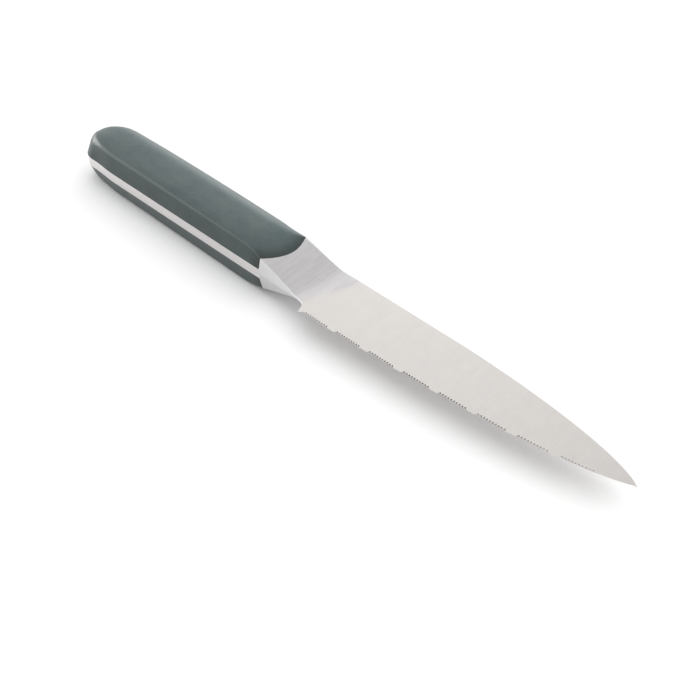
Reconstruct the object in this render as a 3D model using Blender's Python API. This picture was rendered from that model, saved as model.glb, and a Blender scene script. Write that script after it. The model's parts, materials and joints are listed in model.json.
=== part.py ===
"""A serrated utility knife lying on its side, in metres.

+X runs from the butt to the tip, +Y from the edge to the spine and +Z up through the thickness.
Sizes are measured from a datum on the mid-plane, at the step of the first group of serrations.
The forging (blade, bolster and full tang) and the two handle scales are lofts that share the
outline and the thickness functions below, so the scales stay flush with the steel.
"""

import math

import bmesh
import bpy

NAME = "serrated_utility_knife"

# Blade
BLADE_REACH = 0.1178
SPINE_Y = 0.0237
TIP_Y = 0.0138
BLADE_HALF = 0.00095
TIP_HALF = 0.00045
EDGE_SHARE = 0.45
EDGE_FLAT = 0.00008

# Handles of the blade's two outline curves, as shares of its reach and of its fall or rise
SPINE_BEND_SHARE = 0.407
SPINE_HANDLES = ((0.433, 0.0), (0.834, 0.091))
EDGE_HANDLES = ((0.594, 0.196), (0.849, 0.442))

# Heel and the notch behind it
HEEL_X = -0.0019
HEEL_Y = -0.0009
NOTCH_X = -0.0029
NOTCH_Y = 0.0024
NOTCH_RADIUS = 0.0006
HEEL_EASE = 0.0002

# Serrations
PLAIN_TIP = 0.0114
GROUP_PITCH = 0.0137
GULLETS = 10
GULLET_PITCH = 0.00103
STEP_SHARE = 0.06
GULLET_DEPTH = 0.0005
LOBE_DROP = 0.00035
BEVEL_HEIGHT = 0.0015
SCALLOP_RISE = 0.0005
GULLET_WALL = 0.0004
POINT_SCALLOP = 0.3
BEVEL_LIMIT_SHARE = 0.6

# Bolster
BELLY_Y = 0.0036
FACET = 0.0007
FACET_FADE = 0.0027
BELLY_HINGE_X = -0.0077
SPINE_HINGE_X = -0.0052
BELLY_SLOPE = 0.370
SPINE_SLOPE = 0.345
BELLY_BLEND = 0.00025
CREASE_EASE = 0.0004
SPINE_BLEND = 0.0007
CROWN_RADIUS = 0.0012
RUN_OUT_X = -0.0036
RUN_OUT_SLANT = 0.0066

# Seat of the scales against the bolster: a tongue, seen from above
SEAT_X = -0.01985
TONGUE_Y = 0.0163
TONGUE_DEPTH = 0.0048
TONGUE_HALF_WIDTH = 0.0120
TONGUE_POWER = 1.8

# Tang and handle outline
TANG_HALF = 0.00205
BUTT_X = -0.1285
HANDLE_BELLY_Y = 0.0035
HANDLE_BACK_Y = 0.0253
HANDLE_CREST_X = -0.085
BACK_FALL_FRONT = 0.0011
BACK_FALL_REAR = 0.0009
BUTT_BELLY_LIFT = 0.0007
BUTT_LIFT_X = -0.107
BUTT_LIFT_LENGTH = 0.0110
BUTT_BELLY_RADIUS = 0.0080
BUTT_BACK_RADIUS = 0.0100

# Handle scales
HANDLE_HALF = 0.0096
RIDGE_DROP_FRONT = 0.0007
RIDGE_DROP_REAR = 0.0002
BELLY_DRAFT = 0.0013
REAR_DRAFT = 0.0020
BACK_DRAFT = 0.0006
LAND_FROM_Y = 0.0096
LAND_TO_Y = 0.0170
LAND_MARGIN_SHARE = 0.2
LEG_SHARE = 0.18
RIDGE_RADIUS_FRONT = 0.0008
RIDGE_RADIUS_REAR = 0.0025
BACK_FULLNESS_FRONT = 0.76
BACK_FULLNESS_REAR = 1.07
BACK_WALL_SHARE = 0.72
RADIUS_FADE = 0.0055
ROLL_OFF = 0.0014
FRONT_X = -0.036
SHOULDER_LENGTH = 0.0150
SHOULDER_DROP = 0.0040
SHOULDER_POWER = 2.1
BUTT_LEAN = 0.0050
BUTT_LEAN_BACK = 0.0034
BUTT_ROUNDING = 0.0060
BOND_GAP = 0.0003

# Hidden pins
PIN_SHARES = (0.20, 0.52, 0.83)
PIN_Y = 0.0140
PIN_RADIUS = 0.0025
PIN_REACH = 0.0065
PIN_CHAMFER = 0.0004
PIN_CLEARANCE = 0.0003
PIN_SIDES = 24


def lerp(a, b, t):
    return a + (b - a) * t


def clamp(value, low=0.0, high=1.0):
    return max(low, min(high, value))


def ease(t):
    """Smooth step from 0 to 1."""
    t = clamp(t)
    return t * t * (3.0 - 2.0 * t)


def curve_y(points, x):
    """Height at x of the cubic Bezier curve whose four points are given in order of x."""
    low, high = 0.0, 1.0
    for _ in range(40):
        t = 0.5 * (low + high)
        here = bezier([p[0] for p in points], t)
        low, high = (t, high) if here < x else (low, t)
    return bezier([p[1] for p in points], low)


def bezier(values, t):
    a, b, c, d = values
    s = 1.0 - t
    return a * s**3 + 3.0 * b * s * s * t + 3.0 * c * s * t * t + d * t**3


def spine_y(x):
    """Spine of the blade: straight, then one sweep down to the tip."""
    share = x / BLADE_REACH
    if share <= SPINE_BEND_SHARE:
        return SPINE_Y
    fall = curve_y(((SPINE_BEND_SHARE, 0.0), *SPINE_HANDLES, (1.0, 1.0)), share)
    return lerp(SPINE_Y, TIP_Y, fall)


def edge_y(x):
    """Line through the tips of the teeth, from the datum to the tip."""
    share = max(x, 0.0) / BLADE_REACH
    return TIP_Y * curve_y(((0.0, 0.0), *EDGE_HANDLES, (1.0, 1.0)), share)


def blade_half(x, y):
    """Half thickness of the flat-ground blade: it thins towards the tip and the edge."""
    at_spine = lerp(BLADE_HALF, TIP_HALF, clamp(x / BLADE_REACH))
    top = spine_y(x)
    share = clamp((y - edge_y(x)) / max(top - edge_y(x), EDGE_FLAT))
    return at_spine * lerp(EDGE_SHARE, 1.0, share)


def across(y):
    """0 at the belly of the bolster, 1 at its spine."""
    return clamp((y - BELLY_Y) / (SPINE_Y - BELLY_Y))


def wedge_half(x, y):
    """Half thickness of the bolster: a sloping plane that runs out on the blade."""
    v = across(y)
    rise = lerp(BELLY_SLOPE, SPINE_SLOPE, v) * (lerp(BELLY_HINGE_X, SPINE_HINGE_X, v) - x)
    blend = lerp(BELLY_BLEND, SPINE_BLEND, v)
    return blade_half(x, y) + 0.5 * (rise + math.hypot(rise, blend))


def soft_min(a, b, width):
    """Minimum of two heights, rounded only where they differ by less than width."""
    h = max(width - abs(a - b), 0.0) / width
    return min(a, b) - 0.25 * h * h * width


def seat_x(y):
    """Seat of the scales on the bolster: its tongue reaches towards the blade at mid-width."""
    off = abs(y - TONGUE_Y) / TONGUE_HALF_WIDTH
    return SEAT_X - TONGUE_DEPTH * off**TONGUE_POWER


def run_out_x(y):
    """Slanting line where the bolster has fully run out into the blade."""
    return RUN_OUT_X + RUN_OUT_SLANT * across(y)


def corner(x, radius):
    """How far a butt corner of this radius has drawn the outline in at x."""
    reach = clamp(BUTT_X + radius - x, 0.0, radius)
    return radius - math.sqrt(radius * radius - reach * reach)


def belly_y(x):
    """Belly line on the mid-plane, from the butt to the notch behind the heel."""
    lift = BUTT_BELLY_LIFT * ease((BUTT_LIFT_X - x) / BUTT_LIFT_LENGTH)
    front = lerp(HANDLE_BELLY_Y, BELLY_Y, ease((x - FRONT_X) / (SEAT_X - FRONT_X)))
    dip = (BELLY_Y - NOTCH_Y) * clamp((x - BELLY_HINGE_X) / (NOTCH_X - BELLY_HINGE_X)) ** 2
    return front + lift - dip + corner(x, BUTT_BELLY_RADIUS)


def handle_back_y(x):
    if x > HANDLE_CREST_X:
        off = (x - HANDLE_CREST_X) / (SEAT_X - HANDLE_CREST_X)
        return HANDLE_BACK_Y - BACK_FALL_FRONT * off * off
    off = (HANDLE_CREST_X - x) / (HANDLE_CREST_X - BUTT_X)
    return HANDLE_BACK_Y - BACK_FALL_REAR * off * off - corner(x, BUTT_BACK_RADIUS)


def back_y(x):
    """Spine line on the mid-plane: the bolster's crown fades out where the blade begins."""
    start, end = seat_x(SPINE_Y), run_out_x(SPINE_Y)
    if x <= start:
        return handle_back_y(x)
    left = clamp((end - x) / (end - start))
    return lerp(SPINE_Y, handle_back_y(start), left * math.sqrt(left))


def belly_crease_y(x):
    """Crease between the bolster's side and its belly facet; the facet narrows as it thins."""
    return belly_y(x) + FACET * math.tanh(wedge_half(x, BELLY_Y) / FACET_FADE)


def spine_crease_y(x):
    """Crease between the bolster's side and its spine, in line with the blade's spine."""
    return min(SPINE_Y, back_y(x))


class Skin:
    """A mesh built face by face, welding points that coincide."""

    def __init__(self, name):
        self.name = name
        self.bm = bmesh.new()
        self.found = {}

    def vertex(self, point):
        key = tuple(round(c * 1e7) for c in point)
        if key not in self.found:
            self.found[key] = self.bm.verts.new(point)
        return self.found[key]

    def face(self, *points):
        corners = []
        for vertex in map(self.vertex, points):
            if vertex not in corners:
                corners.append(vertex)
        if len(corners) > 2:
            self.bm.faces.new(corners)

    def strip(self, first, second):
        """Quads between two open rows of points."""
        for (a, b), (c, d) in zip(zip(first, first[1:]), zip(second, second[1:])):
            self.face(a, b, d, c)

    def loft(self, rings):
        """Quads between closed rings that have the same number of points."""
        for first, second in zip(rings, rings[1:]):
            self.strip(first + first[:1], second + second[:1])

    def mesh(self):
        bmesh.ops.recalc_face_normals(self.bm, faces=self.bm.faces)
        mesh = bpy.data.meshes.new(self.name)
        self.bm.to_mesh(mesh)
        self.bm.free()
        return mesh


def on_line(line, height):
    """Point (x, y) where a row whose height depends on x meets a station line."""
    y = height(SEAT_X)
    for _ in range(8):
        x = line(y)
        y = height(x)
    return line(y), y


SIDE_ROWS = [i / 10.0 for i in range(11)]
CROWN_ROWS = 2


def tang_side(x):
    """Upper side of the tang at x, as (y, z); its sharp corner stands in for the crown's rows."""
    rows = [(lerp(belly_y(x), back_y(x), share), TANG_HALF) for share in SIDE_ROWS]
    return rows + rows[-1:] * CROWN_ROWS


def bolster_side(x):
    """Upper side of the bolster at x, as (y, z): a flat, then an arc over to its spine."""
    low, high = belly_crease_y(x), spine_crease_y(x)
    rows = [(y, wedge_half(x, y)) for y in (lerp(low, high, share) for share in SIDE_ROWS)]
    start, end = seat_x(SPINE_Y), run_out_x(SPINE_Y)
    radius = CROWN_RADIUS * clamp((end - x) / (end - start))
    return rows[:-1] + fillet(rows[-2], rows[-1], (back_y(x), 0.0), radius, CROWN_ROWS)


def forging_ring(line, side):
    """Closed ring: upper side from belly to spine, spine centre, lower side, belly centre."""
    upper = []
    for row in range(len(SIDE_ROWS) + CROWN_ROWS):
        x, y = on_line(line, lambda x, row=row: side(x)[row][0])
        upper.append((x, y, side(x)[row][1]))
    lower = [(x, y, -z) for x, y, z in reversed(upper)]
    spine = (*on_line(line, back_y), 0.0)
    belly = (*on_line(line, belly_y), 0.0)
    return upper + [spine] + lower + [belly]


def straight(x):
    return lambda _y: x


def between(first, second, share):
    return lambda y: lerp(first(y), second(y), share)


def butt_stations(reach, count):
    """Positions that crowd towards the butt, where the outline turns fastest."""
    return [BUTT_X + reach * (1.0 - math.cos(0.5 * math.pi * i / count)) for i in range(count + 1)]


def forging_rings():
    tang = butt_stations(BUTT_BACK_RADIUS, 8)
    tang += [lerp(tang[-1], FRONT_X, share) for share in (0.15, 0.3, 0.5, 0.7, 0.85, 1.0)]
    rings = [forging_ring(straight(x), tang_side) for x in tang]
    rings.append(forging_ring(seat_x, tang_side))
    for share in (0.0, 0.15, 0.3, 0.45, 0.58, 0.68, 0.76, 0.83, 0.9, 1.0):
        rings.append(forging_ring(between(seat_x, run_out_x, share), bolster_side))
    return rings


def heel_columns():
    """(x, y, ground) round the notch and down the heel; ground is 0 on the blunt part."""
    down = math.atan2(NOTCH_Y - HEEL_Y, HEEL_X - NOTCH_X)
    columns = []
    for i in range(5):
        turn = down * i / 4.0
        x = NOTCH_X - NOTCH_RADIUS * (1.0 - math.sin(turn))
        y = NOTCH_Y - NOTCH_RADIUS * (1.0 - math.cos(turn))
        columns.append((x, y, 0.0))
    columns.append((lerp(columns[-1][0], HEEL_X, 0.85), lerp(columns[-1][1], HEEL_Y, 0.85), 0.4))
    columns.append((HEEL_X, HEEL_Y, 1.0))
    columns.append((0.5 * HEEL_X, lerp(HEEL_Y, -LOBE_DROP, 0.6), 1.0))
    return columns


def group_columns(start):
    """(x, height over the line of the teeth, scallop) of one group: a step, then its gullets."""
    columns = [(start, -LOBE_DROP, 0.0)]
    share = (1.0 - math.cos(0.25 * math.pi)) / 2.0
    for i in range(GULLETS):
        left = start + i * GULLET_PITCH
        first, scallop = (share, 1.0) if i else (STEP_SHARE, 0.0)
        cut = GULLET_DEPTH * math.sin(0.25 * math.pi)
        columns.append((left + first * GULLET_PITCH, cut, scallop))
        columns.append((left + 0.5 * GULLET_PITCH, GULLET_DEPTH, 1.0))
        columns.append((left + (1.0 - share) * GULLET_PITCH, cut, 1.0))
        columns.append((left + GULLET_PITCH, 0.0, POINT_SCALLOP))
    return columns


def serration_columns():
    """(x, height over the line of the teeth, scallop) along the whole edge."""
    columns = []
    teeth = GULLETS * GULLET_PITCH
    groups = 1 + int((BLADE_REACH - PLAIN_TIP - teeth) / GROUP_PITCH)
    for group in range(groups):
        start = group * GROUP_PITCH
        columns += group_columns(start)[0 if group else 1 :]
        lobe = start + teeth
        length = GROUP_PITCH - teeth
        if group < groups - 1:
            for share in (0.3, 0.65, 0.9):
                x = lobe + share * length
                columns.append((x, -LOBE_DROP * ease(share), 0.0))
    last = columns[-1][0]
    for share in (0.2, 0.45, 0.65, 0.8, 0.9, 0.96):
        columns.append((lerp(last, BLADE_REACH, share), 0.0, 0.0))
    return columns


def column_top_x(x):
    """Where a column meets the spine: it leans with the run-out, then stands upright."""
    lean = RUN_OUT_SLANT * clamp(1.0 - (x - RUN_OUT_X) / (SPINE_BEND_SHARE * BLADE_REACH))
    return x + lean


def blade_ring(x, base, cut, ground, scallop):
    """Spine above, edge above and below, top of the bevel, spine below.

    The column runs from (x, base) to the spine, and its edge lies at the height cut over base.
    Ground and scallop, 0 to 1, say how much of the bevel and of a gullet's scallop is there.

    The upper side stays flat down to the edge and the bevel is ground on -Z. A gullet is cut
    square through the steel that the bevel leaves, so it ends in a narrow wall."""
    top_x = column_top_x(x)
    top = spine_y(top_x)
    room = max(top - base, EDGE_FLAT)
    rise = lerp(HEEL_EASE, BEVEL_HEIGHT + SCALLOP_RISE * scallop, ground)
    rise = min(cut + rise, BEVEL_LIMIT_SHARE * room)
    bevel = (lerp(x, top_x, rise / room), base + rise)
    x, y = lerp(x, top_x, cut / room), base + cut
    low = blade_half(x, y)
    edge_z = lerp(-0.5 * low, low - EDGE_FLAT - GULLET_WALL * scallop, ground)
    back = blade_half(top_x, top)
    return [
        (top_x, top, back),
        (x, y, low),
        (x, y, edge_z),
        (*bevel, -blade_half(*bevel)),
        (top_x, top, -back),
    ]


def blade_rings():
    rings = [blade_ring(x, y, 0.0, ground, 0.0) for x, y, ground in heel_columns()]
    for x, cut, scallop in serration_columns():
        rings.append(blade_ring(x, edge_y(x), cut, 1.0, scallop))
    return rings


def join_blade(skin, ring, blade):
    """Closes the gap between the bolster's last ring and the blade's first, unlike, ring."""
    rows = len(SIDE_ROWS) + CROWN_ROWS
    upper, spine = ring[:rows], ring[rows]
    lower, belly = ring[rows + 1 : 2 * rows + 1], ring[-1]
    back, above, below, bevel, under = blade
    skin.face(*upper, back, above)
    skin.face(upper[-1], spine, lower[0], under, back)
    skin.face(*lower, bevel, under)
    skin.face(lower[-1], belly, below, bevel)
    skin.face(belly, upper[0], above, below)


def forging_mesh():
    skin = Skin("blade")
    rings = forging_rings()
    skin.loft(rings)
    rows = len(SIDE_ROWS) + CROWN_ROWS
    upper, lower = rings[0][:rows], rings[0][rows + 1 : 2 * rows + 1][::-1]
    centre = [(x, y, 0.0) for x, y, _z in upper]
    skin.strip(upper, centre)
    skin.strip(centre, lower)
    blade = blade_rings()
    join_blade(skin, rings[-1], blade[0])
    skin.loft(blade)
    tip = (BLADE_REACH, TIP_Y, 0.0)
    last = blade[-1]
    for a, b in zip(last, last[1:] + last[:1]):
        skin.face(a, b, tip)
    return skin.mesh()


def fillet(before, at, after, radius, count):
    """Points of the arc that rounds the corner at, between lines to before and after."""
    ux, uy = before[0] - at[0], before[1] - at[1]
    vx, vy = after[0] - at[0], after[1] - at[1]
    lu, lv = math.hypot(ux, uy), math.hypot(vx, vy)
    ux, uy, vx, vy = ux / lu, uy / lu, vx / lv, vy / lv
    half = 0.5 * math.acos(clamp(ux * vx + uy * vy, -1.0, 1.0))
    length = min(radius / math.tan(half), 0.8 * lu, 0.8 * lv)
    radius = length * math.tan(half)
    bx, by = ux + vx, uy + vy
    scale = radius / math.sin(half) / math.hypot(bx, by)
    cx, cy = at[0] + bx * scale, at[1] + by * scale
    start = math.atan2(at[1] + uy * length - cy, at[0] + ux * length - cx)
    turn = math.atan2(at[1] + vy * length - cy, at[0] + vx * length - cx) - start
    turn = (turn + math.pi) % (2.0 * math.pi) - math.pi
    angles = [start + turn * i / count for i in range(count + 1)]
    return [(cx + radius * math.cos(a), cy + radius * math.sin(a)) for a in angles]


def conic(start, at, end, fullness, count):
    """Points of the curve that leaves start and reaches end along the lines to at.

    It is the rational quadratic curve whose middle weight is the fullness: 0 is the chord, 1 a
    parabola, and more draws it into the corner."""
    points = []
    for i in range(count + 1):
        t = i / count
        weights = ((1.0 - t) ** 2, 2.0 * fullness * t * (1.0 - t), t * t)
        sums = [sum(w * c for w, c in zip(weights, axis)) for axis in zip(start, at, end)]
        points.append((sums[0] / sum(weights), sums[1] / sum(weights)))
    return points


def rear_share(x):
    """0 at the front of the scales, 1 at the butt."""
    return clamp((FRONT_X - x) / (FRONT_X - BUTT_X))


def butt_share(x):
    """0 ahead of the shoulder at the butt, 1 at the butt itself."""
    return clamp((BUTT_X + SHOULDER_LENGTH - x) / SHOULDER_LENGTH)


def land_start(low, high):
    """Belly side of the flat land; where the butt narrows, it keeps clear of the outline."""
    return max(LAND_FROM_Y, low + LAND_MARGIN_SHARE * (high - low))


def face_z(x, y, low, high):
    """Height of the broad face: a flat land, falling off gently to the belly ridge."""
    start = land_start(low, high)
    drop = 0.0
    if y < start:
        ridge = lerp(RIDGE_DROP_FRONT, RIDGE_DROP_REAR, rear_share(x))
        drop = ridge * ((start - y) / (start - low)) ** 2
    left = 1.0 - butt_share(x) ** SHOULDER_POWER
    shoulder = SHOULDER_DROP * (1.0 - left ** (1.0 / SHOULDER_POWER))
    return soft_min(HANDLE_HALF - drop - shoulder, wedge_half(x, y), ROLL_OFF)


def ridge_arc(x, low, high, size):
    """Arc between the leaning belly wall and the broad face."""
    to_ridge = ease((seat_x(BELLY_Y) - x) / RADIUS_FADE)
    rear, to_butt = rear_share(x), butt_share(x) ** 2
    draft = lerp(belly_crease_y(x) - low, lerp(BELLY_DRAFT, REAR_DRAFT, rear), to_ridge)
    radius = lerp(RIDGE_RADIUS_FRONT, RIDGE_RADIUS_REAR, rear) + BUTT_ROUNDING * to_butt
    radius = lerp(CREASE_EASE, radius, to_ridge) * size
    y = low + (draft + BUTT_LEAN * to_butt) * size
    z = face_z(x, y, low, high)
    step = 0.02 * (high - low)
    slope = (face_z(x, y + step, low, high) - z) / step
    run = 1.25 * LEG_SHARE * (high - low)
    return fillet((low, TANG_HALF + BOND_GAP), (y, z), (y + run, z + slope * run), radius, 4)


def back_sweep(x, low, high, size):
    """Conic from the flat land to the back wall; by the bolster it tightens to a small corner."""
    foot = TANG_HALF + BOND_GAP
    to_seat = ease((seat_x(SPINE_Y) - x) / RADIUS_FADE)
    rear, to_butt = rear_share(x), butt_share(x) ** 2
    draft = lerp(high - SPINE_Y, BACK_DRAFT, to_seat) + BUTT_LEAN_BACK * to_butt
    y = high - draft * size
    z = face_z(x, y, low, high)
    leg = max(y - LAND_TO_Y, LEG_SHARE * (high - low))
    start_y = y - lerp(CROWN_RADIUS * size, leg, to_seat)
    start = (start_y, face_z(x, start_y, low, high))
    down = lerp(CROWN_RADIUS / (z - foot), BACK_WALL_SHARE, to_seat)
    end = (lerp(y, high, down), lerp(z, foot, down))
    fullness = lerp(BACK_FULLNESS_FRONT, BACK_FULLNESS_REAR, rear)
    return conic(start, (y, z), end, fullness, 8)


def scale_section(x):
    """Upper half section of the handle at x, as (y, z) from the belly wall to the back wall."""
    low, high = belly_y(x), back_y(x)
    size = clamp((high - low) / (HANDLE_BACK_Y - HANDLE_BELLY_Y))
    belly = ridge_arc(x, low, high, size)
    back = back_sweep(x, low, high, size)
    first, last = belly[-1][0], back[0][0]
    start = max(land_start(low, high), lerp(first, last, LAND_MARGIN_SHARE))
    rows = [0.5 * (first + start), start, lerp(start, last, 0.3), lerp(start, last, 0.65)]
    return belly + [(y, face_z(x, y, low, high)) for y in rows] + back


def scale_station(line):
    """Top and bottom rows of one scale on a station line."""
    foot = TANG_HALF + BOND_GAP
    rows = len(scale_section(FRONT_X))
    top = []
    for row in range(rows):
        x, y = on_line(line, lambda x, row=row: scale_section(x)[row][0])
        top.append((x, y, scale_section(x)[row][1]))
    bottom = [(x, y, foot) for x, y, _z in top]
    bottom[0] = (*on_line(line, belly_y), foot)
    bottom[-1] = (*on_line(line, back_y), foot)
    return top, bottom


def scale_lines():
    def front(y):
        return seat_x(y) - BOND_GAP

    stations = butt_stations(SHOULDER_LENGTH, 8)
    stations += [lerp(stations[-1], FRONT_X, i / 8.0) for i in range(1, 9)]
    lines = [straight(x) for x in stations]
    shares = (0.12, 0.25, 0.38, 0.5, 0.62, 0.73, 0.83, 0.92, 1.0)
    return lines + [between(straight(FRONT_X), front, share) for share in shares]


def scale_mesh(name, side):
    """A handle scale; side is 1 for the upper one and -1 for its mirror image."""
    skin = Skin(name)
    rings = []
    for line in scale_lines():
        top, bottom = scale_station(line)
        rings.append([(x, y, z * side) for x, y, z in top + bottom[::-1]])
    skin.loft(rings)
    for ring in (rings[0], rings[-1]):
        half = len(ring) // 2
        skin.strip(ring[:half], ring[half:][::-1])
    return skin.mesh()


def material(name, colour, roughness, metallic):
    made = bpy.data.materials.new(name)
    made.use_nodes = True
    shader = made.node_tree.nodes["Principled BSDF"]
    shader.inputs["Base Color"].default_value = (*colour, 1.0)
    shader.inputs["Roughness"].default_value = roughness
    shader.inputs["Metallic"].default_value = metallic
    return made


def add_object(name, mesh, collection, datum, finish=None):
    made = bpy.data.objects.new(name, mesh)
    collection.objects.link(made)
    made.parent = datum
    if finish:
        mesh.materials.append(finish)
    mesh.shade_smooth()
    mesh.set_sharp_from_angle(angle=math.radians(30.0))
    return made


def cylinder_mesh(name, radius, reach, chamfer):
    """A pin along Z, reaching this far above and below the mid-plane."""
    bm = bmesh.new()
    bmesh.ops.create_cone(
        bm,
        cap_ends=True,
        segments=PIN_SIDES,
        radius1=radius,
        radius2=radius,
        depth=2.0 * reach,
    )
    if chamfer:
        rims = [e for e in bm.edges if abs(e.verts[0].co.z - e.verts[1].co.z) < 1e-7]
        bmesh.ops.bevel(bm, geom=rims, offset=chamfer, segments=1, affect="EDGES")
    mesh = bpy.data.meshes.new(name)
    bm.to_mesh(mesh)
    bm.free()
    return mesh


def pin_x(share):
    """Place of a pin, as a share of the way from the bolster's seat to the butt."""
    return lerp(SEAT_X, BUTT_X, share)


def add_cutter(index, x, collection, datum):
    """Drills the tang through and the scales blind, round one pin."""
    name = f"pin_bore_{index + 1}"
    mesh = cylinder_mesh(name, PIN_RADIUS + PIN_CLEARANCE, PIN_REACH + PIN_CLEARANCE, 0.0)
    cutter = add_object(name, mesh, collection, datum)
    cutter.location = (x, PIN_Y, 0.0)
    cutter.hide_render = True
    cutter.display_type = "WIRE"
    return cutter


def cut(target, cutters):
    for cutter in cutters:
        modifier = target.modifiers.new(cutter.name, "BOOLEAN")
        modifier.operation = "DIFFERENCE"
        modifier.solver = "EXACT"
        modifier.object = cutter


def new_collection(name):
    collection = bpy.data.collections.new(name)
    bpy.context.scene.collection.children.link(collection)
    return collection


def lowest_y():
    """Lowest point of the plan: the heel, or the belly of the handle."""
    return min(HEEL_Y, HANDLE_BELLY_Y)


def build():
    for old in list(bpy.data.objects):
        bpy.data.objects.remove(old, do_unlink=True)
    parts = new_collection(NAME)
    cutters = new_collection("cutters")

    datum = bpy.data.objects.new("datum", None)
    parts.objects.link(datum)
    datum.location = (
        -0.5 * (BLADE_REACH + BUTT_X),
        -0.5 * (HANDLE_BACK_Y + lowest_y()),
        HANDLE_HALF,
    )

    steel = material("satin_steel", (0.60, 0.59, 0.57), 0.32, 1.0)
    grip = material("grip_plastic", (0.062, 0.078, 0.072), 0.42, 0.0)
    pin_steel = material("pin_steel", (0.55, 0.55, 0.56), 0.40, 1.0)

    blade = add_object("blade", forging_mesh(), parts, datum, steel)
    right = add_object("scale_right", scale_mesh("scale_right", 1), parts, datum, grip)
    left = add_object("scale_left", scale_mesh("scale_left", -1), parts, datum, grip)

    pins = [pin_x(share) for share in PIN_SHARES]
    bores = [add_cutter(i, x, cutters, datum) for i, x in enumerate(pins)]
    for target in (blade, right, left):
        cut(target, bores)

    for name, x in zip(("pin_front", "pin_middle", "pin_rear"), pins):
        mesh = cylinder_mesh(name, PIN_RADIUS, PIN_REACH, PIN_CHAMFER)
        pin = add_object(name, mesh, parts, datum, pin_steel)
        pin.location = (x, PIN_Y, 0.0)
    bpy.context.view_layer.update()


build()
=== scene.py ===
"""A serrated utility knife: the finished surfaces and the studio, laid out as a Blender add-on.

+X runs from the butt to the tip, +Y from the edge to the spine, +Z up through the thickness. The
surfaces are worked out from a datum at the first step of the serrations, on the mid-plane.
"""

import json
import math

import bpy
import numpy as np
from bpy.props import FloatProperty, FloatVectorProperty, IntProperty, PointerProperty
from bpy.types import Operator, Panel, PropertyGroup
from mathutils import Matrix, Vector

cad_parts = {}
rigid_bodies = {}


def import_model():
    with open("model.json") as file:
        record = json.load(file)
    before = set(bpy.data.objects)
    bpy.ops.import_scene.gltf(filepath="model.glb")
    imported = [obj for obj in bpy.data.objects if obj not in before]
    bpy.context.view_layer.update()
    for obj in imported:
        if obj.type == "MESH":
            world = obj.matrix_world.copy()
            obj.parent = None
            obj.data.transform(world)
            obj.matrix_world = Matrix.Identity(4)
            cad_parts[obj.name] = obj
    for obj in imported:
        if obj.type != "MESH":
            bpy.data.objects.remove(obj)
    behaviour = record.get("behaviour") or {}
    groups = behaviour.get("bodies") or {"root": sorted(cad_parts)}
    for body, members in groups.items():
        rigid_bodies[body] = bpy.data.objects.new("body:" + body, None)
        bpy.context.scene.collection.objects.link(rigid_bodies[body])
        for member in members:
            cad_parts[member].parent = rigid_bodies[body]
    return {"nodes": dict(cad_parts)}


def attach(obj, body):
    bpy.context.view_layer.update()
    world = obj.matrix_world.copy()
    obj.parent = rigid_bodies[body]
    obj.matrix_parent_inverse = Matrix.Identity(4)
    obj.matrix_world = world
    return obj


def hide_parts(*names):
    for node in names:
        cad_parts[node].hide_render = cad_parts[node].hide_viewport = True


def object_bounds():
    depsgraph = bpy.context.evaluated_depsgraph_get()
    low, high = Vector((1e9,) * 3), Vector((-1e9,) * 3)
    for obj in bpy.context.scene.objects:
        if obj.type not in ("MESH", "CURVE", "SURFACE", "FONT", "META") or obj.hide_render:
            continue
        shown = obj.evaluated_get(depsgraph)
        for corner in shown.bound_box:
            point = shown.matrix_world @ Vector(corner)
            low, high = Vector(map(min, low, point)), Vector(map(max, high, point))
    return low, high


for startup_thing in list(bpy.data.objects):
    bpy.data.objects.remove(startup_thing)
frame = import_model()
SOLID_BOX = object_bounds()

bl_info = {
    "name": "Serrated utility knife",
    "version": (1, 0, 0),
    "blender": (4, 5, 0),
    "location": "3D View > Sidebar > Knife",
    "description": "Forged blade, moulded handle scales and a plain studio",
    "category": "Object",
}

# Where the datum lies in the scene, from the box of the solids
LOW, HIGH = np.array(SOLID_BOX[0]), np.array(SOLID_BOX[1])
REACH = 0.1178
BUTT_X = -0.1285
HEEL_X, HEEL_Y = -0.0019, -0.0009
DATUM = np.array([LOW[0] - BUTT_X, LOW[1] - HEEL_Y, 0.5 * (LOW[2] + HIGH[2])])

# Blade outline: shares of the reach, and of the fall of the spine or the rise of the edge
SPINE_Y, TIP_Y = 0.0237, 0.0138
SPINE_BEND_SHARE = 0.407
SPINE_CURVE = ((SPINE_BEND_SHARE, 0.0), (0.450, 0.0), (0.880, 0.090), (1.0, 1.0))
EDGE_CURVE = ((0.0, 0.0), (0.594, 0.196), (0.849, 0.442), (1.0, 1.0))
EDGE_SHARE = 0.45
NOTCH_X, NOTCH_Y, NOTCH_RADIUS = -0.0029, 0.0024, 0.0006
PLAIN_TIP = 0.0114

# Bolster
BELLY_Y = 0.0036
FACET, FACET_FADE = 0.0007, 0.0027
HINGE_X = (-0.0077, -0.0052)
SLOPE = (0.370, 0.345)
BLEND = (0.00025, 0.0007)
RUN_OUT_X, RUN_OUT_SLANT = -0.0036, 0.0066
CROWN_FADE_POWER = 1.5
SEAT_X, TONGUE_Y, TONGUE_DEPTH = -0.01985, 0.0163, 0.0048
TONGUE_HALF_WIDTH, TONGUE_POWER = 0.0120, 1.8

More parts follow.
